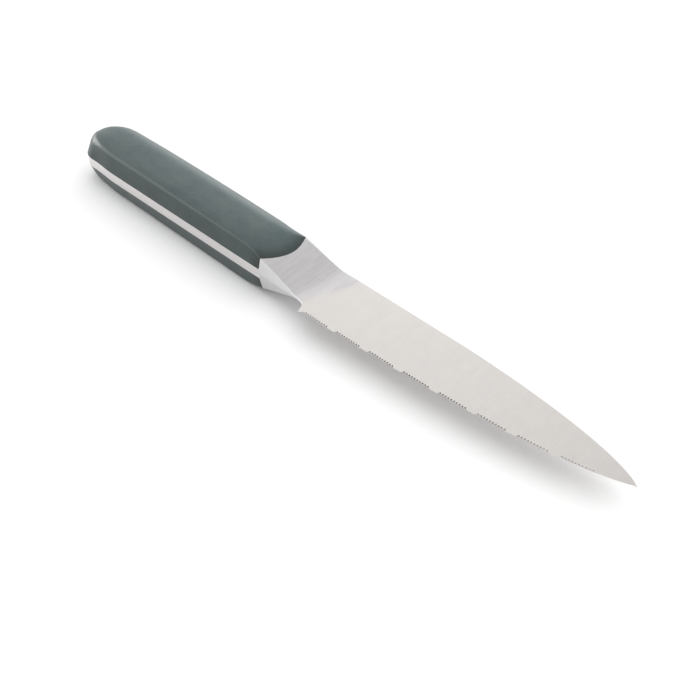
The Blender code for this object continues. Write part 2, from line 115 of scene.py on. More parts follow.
# Handle outline and section
TANG_HALF = 0.00205
HANDLE_BELLY_Y, HANDLE_BACK_Y, CREST_X = 0.0035, 0.0253, -0.085
BACK_FALL = (0.0011, 0.0009)
BUTT_LIFT, BUTT_LIFT_X, BUTT_LIFT_LENGTH = 0.0007, -0.107, 0.0110
BUTT_BELLY_RADIUS, BUTT_BACK_RADIUS = 0.0080, 0.0100
RIDGE_DROP = (0.0007, 0.0002)
DRAFT = (0.0011, 0.0019)
BACK_DRAFT, BACK_WALL_SHARE = 0.0006, 0.72
BACK_FULLNESS = (0.76, 1.07)
LAND_Y = (0.0096, 0.0170)
LAND_MARGIN_SHARE, LEG_SHARE = 0.2, 0.18
RADIUS_FADE, RIDGE_FADE, ROLL_OFF = 0.0090, 0.0055, 0.0014
FRONT_X = -0.036
SHOULDER_LENGTH, SHOULDER_DROP, SHOULDER_POWER = 0.0150, 0.0040, 2.1
BUTT_LEAN_RIGHT, BUTT_LEAN_LEFT = 0.0050, 0.0010
BUTT_LEAN_BACK, BUTT_ROUNDING = 0.0034, 0.0060

# Stations along X: the tang's butt, its straight run and its front; the bolster; a scale's butt,
# its straight run and its front
TANG_STATIONS = (40, 40, 8)
BOLSTER_STATIONS = 56
SCALE_STATIONS = (44, 60, 60)

# Columns along the edge: round the notch and down the heel, in a gullet, on a lobe, and on the plain
# tip, where they crowd towards the point by a power
HEEL_COLUMNS = (10, 9)
GULLET_COLUMNS, LOBE_COLUMNS, TIP_COLUMNS = 12, 14, 60
TIP_CROWDING = 1.3

# Power of a gullet's half wave, and the step at the start of a group: its share of the pitch, and
# the share of a gullet's depth cut there
GULLET_POWER = 1.4
STEP_SHARE, STEP_CUT = 0.06, 0.7

# Finest edges: the foot of the blade's section, the front edge of a scale and the blunt heel. The
# bevel takes at most a share of the blade's width, and edges sharper than an angle stay creased.
FOOT_EASE, FRONT_EASE = 0.00004, 0.00010
HEEL_EASE = 0.0002
BEVEL_LIMIT_SHARE = 0.6
SHARP_ANGLE = math.radians(28.0)

# Slanting line where the bolster's cross grinding meets the satin of the blade: X at two heights
GRIND_LINE_X, GRIND_LINE_Y = (-0.0065, 0.0030), (0.003, 0.024)

# How far back from the bolster the scales' ends carry painted shade
SEAT_SHADE = 0.0060

# Where the painted shade in a gullet starts and is full: share of its scallop, and of the blade's
# thickness
GULLET_DARK, THICKNESS_DARK = (0.62, 0.90), (0.35, 0.85)

# Samples of a Bezier curve, rounds that fit a section to its station lines, the share of a leg that
# an arc may take, and the lines to a metre of the grid on which points are welded
CURVE_SAMPLES, FIT_ROUNDS = 4001, 8
LEG_LIMIT_SHARE = 0.8
WELD_GRID = 1e7

LENGTH = {"subtype": "DISTANCE", "unit": "LENGTH"}
COLOUR = {"subtype": "COLOR", "min": 0.0, "max": 1.0}
SHARE = {"min": 0.0, "max": 1.0}

# Rows of properties: name, default and description
LENGTH_ROWS = (
    ("spine_half", 0.00095, "Half the thickness of the blade at its spine, by the bolster"),
    ("tip_half", 0.00045, "Half the thickness of the spine at the tip"),
    ("edge_flat", 0.00006, "Width of the cutting edge itself"),
    ("group_pitch", 0.0137, "Distance from one group of teeth to the next"),
    ("gullet_pitch", 0.00103, "Distance from tooth to tooth"),
    ("gullet_depth", 0.0008, "Depth of each notch behind the points of the teeth"),
    ("lobe_drop", 0.00024, "How far the plain lobe after each group stands out past the teeth"),
    ("bevel_height", 0.0015, "Height of the ground bevel on the left side"),
    ("scallop_rise", 0.0005, "How far each ground scallop climbs above the bevel"),
    ("gullet_wall", 0.0009, "Height of the square wall at the end of each notch"),
    ("spine_ease", 0.00008, "Rounding of the edges of the spine and the tang"),
    ("crease_ease", 0.00022, "Rounding of the creases of the bolster"),
    ("crown_radius", 0.0012, "Radius between the bolster's side and its spine, by the handle"),
    ("ridge_radius_front", 0.0008, "Radius of the handle's belly ridge by the bolster"),
    ("ridge_radius_rear", 0.0025, "Radius of the handle's belly ridge at the butt"),
    ("joint_gap", 0.00006, "Fine line between the scales and the steel"),
)
COUNT_ROWS = (("gullets", 10, "Number of notches ground in each group"),)
COLOUR_ROWS = (
    ("blade", (0.62, 0.594, 0.574), "Warm satin of the ground blade"),
    ("bolster", (0.563, 0.551, 0.560), "Cooler cross-ground side of the bolster"),
    # The facet is lighter than the bolster's side partly for its finer grind and partly as painted light
    # on the belly facet, which faces the shaded floor
    ("facet", (0.645, 0.640, 0.640), "Finely ground belly and spine of the bolster"),
    # The tang's edge is lighter than the other steel partly as painted light, since it faces the shaded
    # floor
    ("tang", (0.70, 0.675, 0.672), "Edge of the tang between the scales"),
    ("grip", (0.066, 0.088, 0.086), "Dark green-grey moulded plastic"),
)
ROUGHNESS_ROWS = (
    ("steel_roughness", 0.34, "Roughness of the satin steel"),
    ("grip_roughness", 0.36, "Roughness of the moulded plastic"),
)
PLACE_ROWS = (("camera_place", (0.1676, -0.1580, 0.2207), "Camera position from the datum"),)
LIGHT_ROWS = (
    ("lens", 49.56, "Focal length for a 36 mm sensor, in millimetres"),
    ("sky", 0.70, "Level of the light from all round"),
    ("key", 1.35, "Strength of the soft main light"),
    ("backdrop", 0.95, "Level of the walls that the steel mirrors, beyond the tip"),
    ("backdrop_rise", 0.22, "How much brighter the mirrored walls grow towards the butt"),
    ("strip", 6.0, "Strength of the narrow light beside the butt, seen only in reflections"),
    ("glow", 2.0, "Strength of the soft light behind the handle, seen only in reflections"),
    ("fill", 1.2, "Strength of the soft light by the handle's front, seen only in reflections"),
    ("floor_glow", 0.06, "Light added to the floor where the camera or the steel sees it"),
)
ANGLE_ROWS = (("key_spread", math.radians(80.0), "Angle that the main light fills, seen from the knife"),)
FLOOR_ROWS = (("floor", (0.95, 0.95, 0.95), "Colour of the floor"),)


def properties(kind, rows, **limits):
    """Properties of one kind, by name."""
    made = {}
    for label, default, description in rows:
        title = label.replace("_", " ").capitalize()
        made[label] = kind(name=title, description=description, default=default, **limits)
    return made


class KnifeSizes(PropertyGroup):
    """Sizes of the finished surfaces, in metres."""

    __annotations__ = {
        **properties(FloatProperty, LENGTH_ROWS, **LENGTH),
        **properties(IntProperty, COUNT_ROWS),
    }


class KnifeColours(PropertyGroup):
    """Colours and finishes."""

    __annotations__ = {
        **properties(FloatVectorProperty, COLOUR_ROWS, **COLOUR),
        **properties(FloatProperty, ROUGHNESS_ROWS, **SHARE),
    }


class StudioSettings(PropertyGroup):
    """Camera and light."""

    __annotations__ = {
        **properties(FloatProperty, LIGHT_ROWS),
        **properties(FloatProperty, ANGLE_ROWS, subtype="ANGLE", unit="ROTATION"),
        **properties(FloatVectorProperty, PLACE_ROWS, subtype="TRANSLATION", unit="LENGTH"),
        **properties(FloatVectorProperty, FLOOR_ROWS, **COLOUR),
    }


def lerp(a, b, t):
    return a + (b - a) * t


def ease(t):
    """Smooth step: 3t^2 - 2t^3 between 0 and 1."""
    t = np.clip(t, 0.0, 1.0)
    return t * t * (3.0 - 2.0 * t)


def ramp(value, start, full):
    """Smooth step of a value between where it starts and where it is full."""
    return ease((value - start) / (full - start))


def fade(t):
    """Quick start and soft end: 1 - (1 - t)^2 between 0 and 1."""
    return 1.0 - (1.0 - np.clip(t, 0.0, 1.0)) ** 2


def curve_height(points, x):
    """Height at x of the cubic Bezier curve through four points in order of x."""
    t = np.linspace(0.0, 1.0, CURVE_SAMPLES)
    weights = ((1 - t) ** 3, 3 * t * (1 - t) ** 2, 3 * t * t * (1 - t), t**3)
    along = sum(w * p[0] for w, p in zip(weights, points))
    height = sum(w * p[1] for w, p in zip(weights, points))
    return np.interp(x, along, height)


def spine_y(x):
    """Spine of the blade: straight, then one sweep down to the tip."""
    share = np.maximum(x / REACH, SPINE_BEND_SHARE)
    return lerp(SPINE_Y, TIP_Y, curve_height(SPINE_CURVE, share))


def edge_y(x):
    """Line through the points of the teeth."""
    return TIP_Y * curve_height(EDGE_CURVE, np.maximum(x, 0.0) / REACH)


def blade_half(s, x, y):
    """Half thickness of the flat-ground blade: it thins towards the tip and the edge."""
    at_spine = lerp(s.spine_half, s.tip_half, np.clip(x / REACH, 0.0, 1.0))
    top, bottom = spine_y(x), edge_y(x)
    share = np.clip((y - bottom) / np.maximum(top - bottom, s.edge_flat), 0.0, 1.0)
    return at_spine * lerp(EDGE_SHARE, 1.0, share)


def across(y):
    """0 at the belly of the bolster, 1 at its spine."""
    return np.clip((y - BELLY_Y) / (SPINE_Y - BELLY_Y), 0.0, 1.0)


def wedge_half(s, x, y):
    """Half thickness of the bolster: a sloping plane that runs out on the blade in a soft hinge."""
    v = across(y)
    rise = lerp(*SLOPE, v) * (lerp(*HINGE_X, v) - x)
    return blade_half(s, x, y) + 0.5 * (rise + np.hypot(rise, lerp(*BLEND, v)))


def seat_x(y):
    """Seat of the scales: a tongue that reaches towards the blade at mid-width."""
    off = np.abs(y - TONGUE_Y) / TONGUE_HALF_WIDTH
    return SEAT_X - TONGUE_DEPTH * off**TONGUE_POWER


def run_out_x(y):
    """Slanting line where the bolster has run out into the blade."""
    return RUN_OUT_X + RUN_OUT_SLANT * across(y)


def corner_inset(x, radius):
    """How far a round butt corner has drawn the outline in at x: r - sqrt(r^2 - reach^2)."""
    reach = np.clip(BUTT_X + radius - x, 0.0, radius)
    return radius - np.sqrt(np.maximum(radius * radius - reach * reach, 0.0))


def belly_y(x):
    """Belly line on the mid-plane, from the butt to the notch behind the heel."""
    lift = BUTT_LIFT * ease((BUTT_LIFT_X - x) / BUTT_LIFT_LENGTH)
    front = lerp(HANDLE_BELLY_Y, BELLY_Y, ease((x - FRONT_X) / (SEAT_X - FRONT_X)))
    dip = np.clip((x - HINGE_X[0]) / (NOTCH_X - HINGE_X[0]), 0.0, 1.0) ** 2
    return front + lift - (BELLY_Y - NOTCH_Y) * dip + corner_inset(x, BUTT_BELLY_RADIUS)


def handle_back_y(x):
    """Spine line of the handle: a long crest that falls as a parabola to each end."""
    front = (x - CREST_X) / (SEAT_X - CREST_X)
    rear = (CREST_X - x) / (CREST_X - BUTT_X)
    fall = np.where(x > CREST_X, BACK_FALL[0] * front**2, BACK_FALL[1] * rear**2)
    return HANDLE_BACK_Y - fall - corner_inset(x, BUTT_BACK_RADIUS)


def back_y(x):
    """Spine line on the mid-plane: the crown of the bolster fades out where the blade begins."""
    start, end = seat_x(SPINE_Y), run_out_x(SPINE_Y)
    left = np.clip((end - x) / (end - start), 0.0, 1.0) ** CROWN_FADE_POWER
    fading = lerp(SPINE_Y, handle_back_y(start), left)
    return np.where(x <= start, handle_back_y(x), fading)


def soft_min(a, b, width):
    """Minimum of two heights, rounded only where they differ by less than width."""
    h = np.maximum(width - np.abs(a - b), 0.0) / width
    return np.minimum(a, b) - 0.25 * h * h * width


def handle_stations(reach, round_count, straight_count):
    """Positions along X: over the butt's reach they crowd as 1 - cos, then they are even."""
    at_butt = BUTT_X + reach * (1.0 - np.cos(np.linspace(0.0, 0.5 * math.pi, round_count)))
    return np.concatenate([at_butt, np.linspace(BUTT_X + reach, FRONT_X, straight_count)[1:]])


def round_corner(before, at, after, radius, t):
    """Circular arc in place of a corner, as a rational quadratic curve in t.

    The points are (y, z) pairs of arrays. The arc touches each leg at radius / tan(half angle)
    from the corner, and its middle weight is the sine of the half angle."""
    u = [before[k] - at[k] for k in (0, 1)]
    v = [after[k] - at[k] for k in (0, 1)]
    lu, lv = np.hypot(*u), np.hypot(*v)
    u, v = [c / lu for c in u], [c / lv for c in v]
    half = 0.5 * np.arccos(np.clip(u[0] * v[0] + u[1] * v[1], -1.0, 1.0))
    leg = np.minimum(radius / np.tan(half), LEG_LIMIT_SHARE * np.minimum(lu, lv))
    weight = (1 - t) ** 2 + 2 * np.sin(half) * t * (1 - t) + t * t
    return [at[k] + leg * (u[k] * (1 - t) ** 2 + v[k] * t * t) / weight for k in (0, 1)], leg


def conic(start, at, end, fullness, t):
    """Curve in t that leaves start and reaches end along the lines to at.

    It is the rational quadratic curve whose middle weight is the fullness: 0 is the chord, 1 a
    parabola, and more draws it into the corner."""
    a, b, c = (1 - t) ** 2, 2 * fullness * t * (1 - t), t * t
    return [(a * start[k] + b * at[k] + c * end[k]) / (a + b + c) for k in (0, 1)]


def fit_to_lines(line, section, count, rows):
    """Points where each row of a section meets each station line, by repeated substitution."""
    x = line(np.full((count, rows), 0.5 * (BELLY_Y + SPINE_Y)))
    for _ in range(FIT_ROUNDS):
        y, _z = section(x)
        x = line(y)
    y, z = section(x)
    return np.stack([x, y, z], axis=-1)


# Shares down half a forged section: spine wall, spine corner, side, belly corner, belly facet.
# The long side has a row close to each corner, so the corner's shading stays in the corner.
HALF_SHARES = (
    np.linspace(0.0, 1.0, 4)[:-1],
    np.linspace(0.0, 1.0, 5)[:-1],
    np.concatenate([[0.0, 0.006, 0.02], np.linspace(0.08, 0.92, 8), [0.98, 0.994]]),
    np.linspace(0.0, 1.0, 5)[:-1],
    np.linspace(0.0, 1.0, 7),
)
ROW_COUNTS = tuple(len(shares) for shares in HALF_SHARES)
ROW_TOTAL = sum(ROW_COUNTS)


def leg_end(corner, other, reach):
    """Point that lies reach away from a corner, on the line to another point."""
    away = np.hypot(other[0] - corner[0], other[1] - corner[1])
    return [corner[k] + reach * (other[k] - corner[k]) / away for k in (0, 1)]


def half_rows(corners, side, radii):
    """Half section of the forging as a function of x: rows on three lines and two arcs."""

    def section(x):
        spine, upper, lower, belly = corners(x)
        ends = np.cumsum((0, *ROW_COUNTS))
        cols = [slice(a, b) for a, b in zip(ends, ends[1:])]
        y, z = np.empty_like(x), np.empty_like(x)

        def pick(point, col):
            return [np.broadcast_to(c, x.shape)[:, col] for c in point]

        for part, (col, t) in enumerate(zip(cols, HALF_SHARES)):
            s0, s1, s2, s3 = (pick(p, col) for p in (spine, upper, lower, belly))
            arc1, leg1 = round_corner(s0, s1, s2, radii[0](x[:, col]), t)
            arc2, leg2 = round_corner(s1, s2, s3, radii[1](x[:, col]), t)
            if part == 0:
                y[:, col], z[:, col] = [lerp(a, b, t) for a, b in zip(s0, leg_end(s1, s0, leg1))]
            elif part == 1:
                y[:, col], z[:, col] = arc1
            elif part == 2:
                y[:, col] = lerp(leg_end(s1, s2, leg1)[0], leg_end(s2, s1, leg2)[0], t)
                z[:, col] = side(x[:, col], y[:, col])
            elif part == 3:
                y[:, col], z[:, col] = arc2
            else:
                y[:, col], z[:, col] = [lerp(a, b, t) for a, b in zip(leg_end(s2, s3, leg2), s3)]
        return y, z

    return section


def closed_ring(upper, lower):
    """Upper and lower halves share their spine and belly rows, so the ring skips one of each."""
    return np.concatenate([upper, lower[:, -2:0:-1]], axis=1)


def mirrored(half):
    return half * np.array([1.0, 1.0, -1.0])


def tang_block(s):
    """Flat plate: x stations from the butt, then ruled lines up to the curved seat."""
    straight = handle_stations(BUTT_BACK_RADIUS, *TANG_STATIONS[:2])
    share = np.linspace(0.0, 1.0, TANG_STATIONS[2])[1:]

    def line(y):
        fixed = np.repeat(straight[:, None], y.shape[1], axis=1)
        ruled = lerp(FRONT_X, seat_x(y[len(straight) :]), share[:, None])
        return np.concatenate([fixed, ruled])

    def corners(x):
        back, belly = back_y(x), belly_y(x)
        half = np.full_like(x, TANG_HALF)
        return (back, 0.0 * half), (back, half), (belly, half), (belly, 0.0 * half)

    def radius(x):
        return s.spine_ease

    section = half_rows(corners, lambda x, y: np.full_like(y, TANG_HALF), (radius, radius))
    upper = fit_to_lines(line, section, len(straight) + len(share), ROW_TOTAL)
    return closed_ring(upper, mirrored(upper))


def bolster_block(s):
    """Wedge: lines ruled from the curved seat to the slanting run-out."""
    share = 1.0 - (1.0 - np.linspace(0.0, 1.0, BOLSTER_STATIONS)) ** 1.25

    def line(y):
        return lerp(seat_x(y), run_out_x(y), share[:, None])

    def corners(x):
        back, belly = back_y(x), belly_y(x)
        crest = np.minimum(SPINE_Y, back)
        crease = belly + FACET * np.tanh(wedge_half(s, x, BELLY_Y) / FACET_FADE)
        zero = np.zeros_like(x)
        upper = (crest, wedge_half(s, x, crest))
        lower = (crease, wedge_half(s, x, crease))
        return (back, zero), upper, lower, (belly, zero)

    def crown(x):
        start, end = seat_x(SPINE_Y), run_out_x(SPINE_Y)
        return lerp(s.spine_ease, s.crown_radius, np.clip((end - x) / (end - start), 0.0, 1.0))

    def crease(x):
        return s.crease_ease

    section = half_rows(corners, lambda x, y: wedge_half(s, x, y), (crown, crease))
    upper = fit_to_lines(line, section, len(share), ROW_TOTAL)
    return closed_ring(upper, mirrored(upper))


def heel_columns():
    """Round the notch and down the heel: x, y and how far the column is ground, 0 to 1."""
    down = math.atan2(NOTCH_Y - HEEL_Y, HEEL_X - NOTCH_X)
    turn = np.linspace(0.0, down, HEEL_COLUMNS[0])
    x = NOTCH_X - NOTCH_RADIUS * (1.0 - np.sin(turn))
    y = NOTCH_Y - NOTCH_RADIUS * (1.0 - np.cos(turn))
    fall = np.linspace(0.0, 1.0, HEEL_COLUMNS[1])[1:]
    x = np.concatenate([x, lerp(x[-1], HEEL_X, fall)])
    y = np.concatenate([y, lerp(y[-1], HEEL_Y, fall)])
    ground = np.concatenate([0.0 * turn, ramp(fall, 0.3, 1.0)])
    return x, y, 0.0 * x, ground, 0.0 * x


def group_columns(s):
    """Columns of one group: x, cut above the line of the teeth, and scallop, 0 to 1.

    A gullet is a half wave, sin^GULLET_POWER, cut into that line. The line drifts outwards along
    the group, and the plain lobe runs on from it."""
    teeth = s.gullets * s.gullet_pitch
    turn = np.linspace(0.0, math.pi, GULLET_COLUMNS + 1)[:-1]
    x = ((np.arange(s.gullets)[:, None] + turn / math.pi) * s.gullet_pitch).ravel()
    arch = np.tile(np.sin(turn) ** GULLET_POWER, s.gullets)
    x[0] += STEP_SHARE * s.gullet_pitch
    arch[0] = STEP_CUT
    lobe = np.linspace(0.0, 1.0, LOBE_COLUMNS)
    x = np.concatenate([x, teeth + lobe * (s.group_pitch - teeth)])
    cut = s.gullet_depth * np.concatenate([arch, 0.0 * lobe]) - s.lobe_drop * ease(x / teeth)
    return x, cut, np.concatenate([[0.0], arch[1:], 0.0 * lobe])


def serration_columns(s):
    """Columns along the edge: x, line of the teeth, cut above it, ground and scallop, 0 to 1.

    Each group steps back in from the lobe before it. After the last group's teeth the plain edge
    runs on to the point, with columns that crowd towards it."""
    teeth = s.gullets * s.gullet_pitch
    groups = 1 + int((REACH - PLAIN_TIP - teeth) / s.group_pitch)
    x, cut, scallop = group_columns(s)
    start = np.arange(groups)[:, None] * s.group_pitch
    x, cut, scallop = (start + x).ravel(), np.tile(cut, groups), np.tile(scallop, groups)
    keep = x < (groups - 1) * s.group_pitch + teeth + 1e-7
    share = 1.0 - (1.0 - np.linspace(0.0, 1.0, TIP_COLUMNS)[1:-1]) ** TIP_CROWDING
    plain = lerp(x[keep][-1], REACH, share)
    x = np.concatenate([x[keep], plain])
    cut, scallop = (np.concatenate([values[keep], 0.0 * plain]) for values in (cut, scallop))
    return x, edge_y(x), cut, np.ones_like(x), scallop


def blade_block(s):
    """Flat-ground blade: leaning columns from the edge to the spine.

    The right side is flat down to the edge and the bevel is ground on the left, -Z, side. A gullet
    is cut square through the steel that the bevel leaves, so it ends in a narrow wall. Also gives
    how much painted shade each column gets deep in a gullet, 0 to 1, more where the blade is thick."""
    parts = zip(heel_columns(), serration_columns(s))
    base_x, base, cut, ground, scallop = (np.concatenate(p)[:, None] for p in parts)
    bend = SPINE_BEND_SHARE * REACH
    top_x = base_x + RUN_OUT_SLANT * np.clip(1.0 - (base_x - RUN_OUT_X) / bend, 0.0, 1.0)
    top = spine_y(top_x)
    room = np.maximum(top - base, 1e-5)
    rise = lerp(HEEL_EASE, s.bevel_height + s.scallop_rise * scallop, ground)
    bevel = base + np.minimum(cut + rise, BEVEL_LIMIT_SHARE * room)
    edge_line = base + cut
    low = blade_half(s, lerp(base_x, top_x, cut / room), edge_line)
    thick = low / blade_half(s, 0.0, 0.0)
    edge_z = lerp(-0.5 * low, low - s.edge_flat - s.gullet_wall * scallop * thick, ground)

    def line(y):
        return lerp(base_x, top_x, (y - base) / room)

    def wide(column, x):
        return np.broadcast_to(column, x.shape)

    def right(x):
        """Section of the flat right side."""
        spine = (wide(top, x), 0.0 * x)
        upper = (wide(top, x), wide(blade_half(s, top_x, top), x))
        lower = (wide(edge_line, x), wide(low, x))
        return spine, upper, lower, (wide(edge_line, x), wide(edge_z, x))

    def left(x):
        """Section of the bevelled left side."""
        spine = (wide(top, x), 0.0 * x)
        upper = (wide(top, x), wide(-blade_half(s, top_x, top), x))
        lower = (wide(bevel, x), -blade_half(s, x, wide(bevel, x)))
        return spine, upper, lower, (wide(edge_line, x), wide(edge_z, x))

    radii = (lambda x: s.spine_ease, lambda x: FOOT_EASE)
    one = half_rows(right, lambda x, y: blade_half(s, x, y), radii)
    two = half_rows(left, lambda x, y: -blade_half(s, x, y), radii)
    halves = (fit_to_lines(line, half, len(base_x), ROW_TOTAL) for half in (one, two))
    rings = closed_ring(*halves)
    # Painted shade deep in each gullet, stronger where the blade is thick
    deep = ramp(scallop, *GULLET_DARK) * ramp(thick, *THICKNESS_DARK)
    return rings, deep * ground


def grid_faces(rings, around):
    """Quads of a tube: ring i, point j to ring i + 1, point j + 1."""
    i = np.arange(rings - 1)[:, None] * around
    j = np.arange(around)[None, :]
    k = (j + 1) % around
    return np.stack([i + j, i + around + j, i + around + k, i + k], axis=-1).reshape(-1, 4)


def ladder_faces(around):
    """Quads that close the first ring, whose two halves run side by side."""
    a = np.arange(around // 2 + 1)
    b = (around - a) % around
    return np.stack([b[:-1], b[1:], a[1:], a[:-1]], axis=-1)


def weld(points, quads):
    """Welds points that coincide and drops the edges and faces that this collapses.

    Each point is keyed by its place on a 0.1 micrometre grid. A corner equal to the one after it
    goes, and a face stays while it has three corners or more."""
    keys = np.round(points * WELD_GRID).astype(np.int64)
    _, first, which = np.unique(keys, axis=0, return_index=True, return_inverse=True)
    corners = which.reshape(-1)[quads]
    kept = corners != np.roll(corners, -1, axis=1)
    crossed = (corners[:, 0] == corners[:, 2]) | (corners[:, 1] == corners[:, 3])
    kept[crossed | (kept.sum(axis=1) < 3)] = False
    sizes = kept.sum(axis=1)
    return first, corners[kept], sizes[sizes > 0]


def make_piece(name, points, quads, attributes, material, body="root"):
    """A closed mesh object at the origin whose place is in its vertices."""
    first, corners, sizes = weld(points, quads)
    mesh = bpy.data.meshes.new(name)
    mesh.vertices.add(len(first))
    mesh.vertices.foreach_set("co", (points[first] + DATUM).astype(np.float32).ravel())
    mesh.loops.add(len(corners))
    mesh.loops.foreach_set("vertex_index", corners.astype(np.int32))
    mesh.polygons.add(len(sizes))
    starts = np.concatenate([[0], np.cumsum(sizes)[:-1]])
    mesh.polygons.foreach_set("loop_start", starts.astype(np.int32))
    mesh.update(calc_edges=True)
    mesh.validate()
    for label, values in attributes.items():
        layer = mesh.attributes.new(label, "FLOAT", "POINT")
        layer.data.foreach_set("value", values[first].astype(np.float32))
    if signed_volume(mesh) < 0.0:
        mesh.flip_normals()
    mesh.materials.append(material)
    mesh.shade_smooth()
    mesh.set_sharp_from_angle(angle=SHARP_ANGLE)
    piece = bpy.data.objects.new(name, mesh)
    bpy.context.scene.collection.objects.link(piece)
    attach(piece, body)
    return piece


def signed_volume(mesh):
    """Sum over the triangles of a . (b x c) / 6: negative when the faces look inwards."""
    mesh.calc_loop_triangles()
    corners = np.empty(len(mesh.loop_triangles) * 3, dtype=np.int32)
    mesh.loop_triangles.foreach_get("vertices", corners)
    place = np.empty(len(mesh.vertices) * 3, dtype=np.float32)
    mesh.vertices.foreach_get("co", place)
    a, b, c = place.reshape(-1, 3).astype(float)[corners.reshape(-1, 3)].transpose(1, 0, 2)
    return float(np.einsum("ij,ij->i", a, np.cross(b, c)).sum() / 6.0)


def feed(tree, socket, value):
    """Links another node's output to a socket, or sets a constant on it."""
    if isinstance(value, bpy.types.NodeSocket):
        tree.links.new(value, socket)
    else:
        socket.default_value = value


def node(tree, kind, settings=None, **inputs):
    """Adds a shader node; an input name's underscores stand for spaces."""
    made = tree.nodes.new(kind)
    for name, value in (settings or {}).items():
        setattr(made, name, value)
    for name, value in inputs.items():
        feed(tree, made.inputs[name.replace("_", " ")], value)
    return made


def attribute(tree, label):
    return node(tree, "ShaderNodeAttribute", {"attribute_name": label}).outputs["Fac"]


def mix_colour(tree, factor, first, second, blend="MIX"):
    made = node(tree, "ShaderNodeMix", {"data_type": "RGBA", "blend_type": blend})
    feed(tree, made.inputs[0], factor)
    for index, value in ((6, first), (7, second)):
        feed(tree, made.inputs[index], (*value, 1.0) if isinstance(value, tuple) else value)
    return made.outputs[2]


def reach_map(tree, value, low, high, to_low, to_high, smooth=False):
    settings = {"interpolation_type": "SMOOTHSTEP"} if smooth else None
    made = node(tree, "ShaderNodeMapRange", settings, Value=value)
    for label, number in zip(("From Min", "From Max", "To Min", "To Max"), (low, high, to_low, to_high)):
        made.inputs[label].default_value = number
    return made.outputs["Result"]


def greys(tree, value, low, high, dark, bright):
    """Grey that goes from dark to bright as a value goes from low to high."""
    return mix_colour(tree, reach_map(tree, value, low, high, 0.0, 1.0), (dark,) * 3, (bright,) * 3)


def shaded(colour, *shares):
    """A colour times one share, or times one for each channel."""
    return tuple(c * share for c, share in zip(colour, shares * (3 // len(shares))))


def streaks(tree, place, scale, turn=0.0, detail=3.0):
    """Noise stretched along one direction: the lines a grinding belt leaves. The scale is how many
    of them there are to a metre along each axis."""
    mapping = node(tree, "ShaderNodeMapping", Vector=place)
    mapping.inputs["Rotation"].default_value = (0.0, 0.0, turn)
    mapping.inputs["Scale"].default_value = scale
    noise = node(tree, "ShaderNodeTexNoise", Vector=mapping.outputs["Vector"], Scale=1.0, Detail=detail)
    noise.inputs["Roughness"].default_value = 0.6
    return noise.outputs["Fac"]


def mix_value(tree, factor, first, second):
    made = tree.nodes.new("ShaderNodeMix")
    for index, value in ((0, factor), (2, first), (3, second)):
        feed(tree, made.inputs[index], value)
    return made.outputs[0]


def math_node(tree, operation, a, b):
    made = node(tree, "ShaderNodeMath", {"operation": operation})
    for socket, value in zip(made.inputs, (a, b)):
        feed(tree, socket, value)
    return made.outputs[0]


def lobe(tree, towards, direction, edge, level):
    """Soft patch of light: level times a smooth step of the cosine between edge and 1."""
    facing = node(tree, "ShaderNodeVectorMath", {"operation": "DOT_PRODUCT"})
    tree.links.new(towards, facing.inputs[0])
    facing.inputs[1].default_value = direction
    return reach_map(tree, facing.outputs["Value"], edge, 1.0, 0.0, level, True)


def new_material(name):
    material = bpy.data.materials.new(name)
    material.use_nodes = True
    tree = material.node_tree
    shader = tree.nodes["Principled BSDF"]
    return material, tree, shader


# Way that the bolster is ground, off square to the blade, the colour of the painted dark reflection along
# the spine and the colour of the painted shade deep in the gullets
GRIND_TURN = math.radians(-20.0)
SPINE_SHADE_COLOUR = (0.40, 0.39, 0.39)
GULLET_SHADE_COLOUR = (0.03, 0.028, 0.028)

# Noise of the steel: lines to a metre along each axis, how far it is turned, and its detail
GRINDS = (
    ((9000.0, 300.0, 300.0), 0.0, 3.0),
    ((1500.0, 60.0, 60.0), 0.0, 2.0),
    ((3200.0, 90.0, 900.0), GRIND_TURN, 4.0),
    ((700.0, 45.0, 200.0), GRIND_TURN, 2.0),
    ((12.0, 200.0, 2700.0), 0.0, 3.0),
    ((220.0, 220.0, 220.0), 0.0, 4.0),
)


